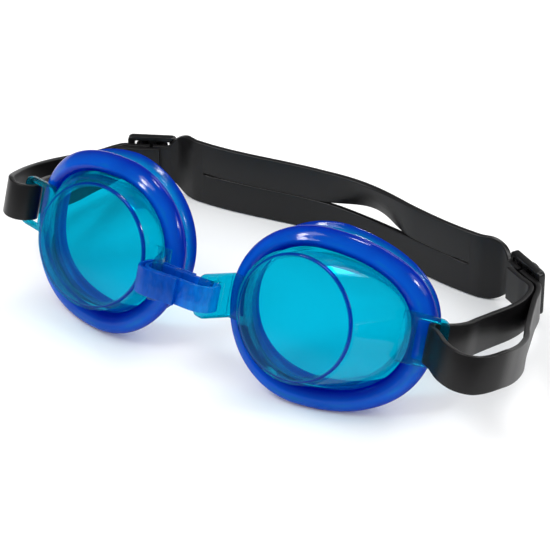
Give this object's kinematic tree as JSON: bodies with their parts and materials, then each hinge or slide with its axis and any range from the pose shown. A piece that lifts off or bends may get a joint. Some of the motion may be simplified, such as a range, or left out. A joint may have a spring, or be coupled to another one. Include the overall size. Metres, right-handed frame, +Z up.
{
  "type": "swim goggles",
  "caption": "Swim goggles with two moulded lens cups, soft gaskets, a nose strap, and a split rubber head strap held by slide buckles.",
  "frame": {"origin": "middle of the lower strap branch's flat bottom edge, on the table, in the nose plane", "axes": "+X towards the right lens as seen from the front, +Y from the lenses back to the rear strap, +Z up; the lenses face -Y and lean back 19.6 degrees"},
  "size_m": [0.1608, 0.0922, 0.0453],
  "materials": {
    "cup_plastic": "clear cyan moulded polycarbonate, polished",
    "gasket_rubber": "glossy translucent blue soft elastomer",
    "nose_rubber": "semi-gloss translucent blue soft elastomer",
    "strap_rubber": "smooth satin black rubber",
    "buckle_plastic": "satin black moulded plastic"
  },
  "bodies": {
    "nose_strap": {"nose_band": "nose_rubber", "nose_sleeve": "nose_rubber"},
    "cup_right": {"lens_cup_right": "cup_plastic", "gasket_right": "gasket_rubber"},
    "cup_left": {"lens_cup_left": "cup_plastic", "gasket_left": "gasket_rubber"},
    "tail_right": {"strap_tail_right": "strap_rubber"},
    "tail_left": {"strap_tail_left": "strap_rubber"},
    "rear_strap": {"strap_lower_branch": "strap_rubber", "strap_end_right": "strap_rubber", "strap_end_left": "strap_rubber"},
    "upper_branch": {"strap_upper_branch": "strap_rubber"},
    "buckle_right": {"buckle_right": "buckle_plastic"},
    "buckle_left": {"buckle_left": "buckle_plastic"}
  },
  "joints": [
    {"name": "cup_fold_right", "type": "hinge", "parent": "nose_strap", "child": "cup_right", "pos_m": [0.00744, -0.08176, 0.02813], "axis": [0, 0.3355, 0.9421], "range_deg": [-5, 5]},
    {"name": "cup_fold_left", "type": "hinge", "parent": "nose_strap", "child": "cup_left", "pos_m": [-0.00744, -0.08176, 0.02813], "axis": [0, -0.3355, -0.9421], "range_deg": [-5, 5]},
    {"name": "tail_pivot_right", "type": "hinge", "parent": "cup_right", "child": "tail_right", "pos_m": [0.06504, -0.06016, 0.02225], "axis": [0, -0.3355, -0.9421], "range_deg": [-7.3, 7.3]},
    {"name": "tail_pivot_left", "type": "hinge", "parent": "cup_left", "child": "tail_left", "pos_m": [-0.06504, -0.06016, 0.02225], "axis": [0, 0.3355, 0.9421], "range_deg": [-7.3, 7.3]},
    {"name": "rear_strap_follow", "type": "slide", "parent": "nose_strap", "child": "rear_strap", "axis": [0, 0.9421, -0.3355], "range_m": [-0.0055, 0.0055]},
    {"name": "branch_split", "type": "hinge", "parent": "rear_strap", "child": "upper_branch", "pos_m": [-0.0008, -0.0062, 0.0098], "axis": [1, 0, 0], "range_deg": [0, 30]},
    {"name": "buckle_slide_right", "type": "slide", "parent": "rear_strap", "child": "buckle_right", "axis": [0.8829, -0.4695, 0], "range_m": [0, 0.006]},
    {"name": "buckle_slide_left", "type": "slide", "parent": "rear_strap", "child": "buckle_left", "axis": [-0.8829, -0.4695, 0], "range_m": [0, 0.006]}
  ],
  "couplings": [
    {"joint": "cup_fold_left", "follows": "cup_fold_right", "ratio": 1},
    {"joint": "tail_pivot_right", "follows": "cup_fold_right", "ratio": 1.4194},
    {"joint": "tail_pivot_left", "follows": "cup_fold_right", "ratio": 1.4194},
    {"joint": "rear_strap_follow", "follows": "cup_fold_right", "m_per_rad": 0.06}
  ]
}
